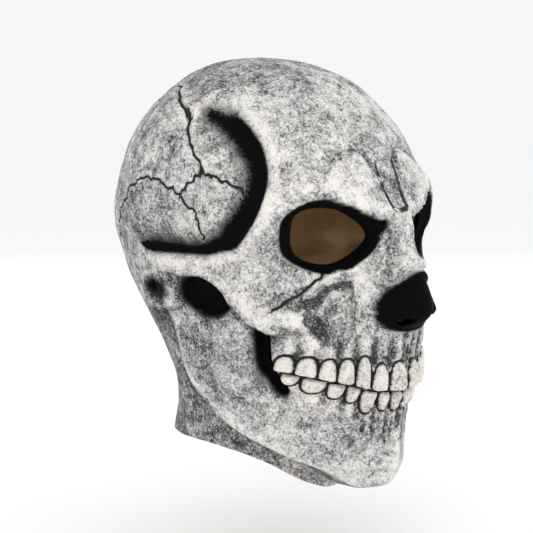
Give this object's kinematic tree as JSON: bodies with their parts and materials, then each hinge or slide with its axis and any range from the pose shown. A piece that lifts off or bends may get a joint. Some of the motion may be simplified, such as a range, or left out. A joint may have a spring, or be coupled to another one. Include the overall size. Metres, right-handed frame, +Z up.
{
  "type": "skull mask",
  "caption": "Hollow latex skull mask worn over the whole head, with cut eye openings, a nose form, two raised rows of teeth, a jaw ridge and a short neck strip.",
  "frame": {"origin": "the middle of the crown on the inside of the mask, where the top of the wearer's head sits", "axes": "+Z runs up out of the crown, the face looks along -Y, and +X is the wearer's left"},
  "size_m": [0.1842, 0.2283, 0.2685],
  "materials": {
    "latex": "matte bone paint over cream latex, black in the recesses"
  },
  "bodies": {
    "root": {"mask_shell": "latex"}
  },
  "joints": []
}
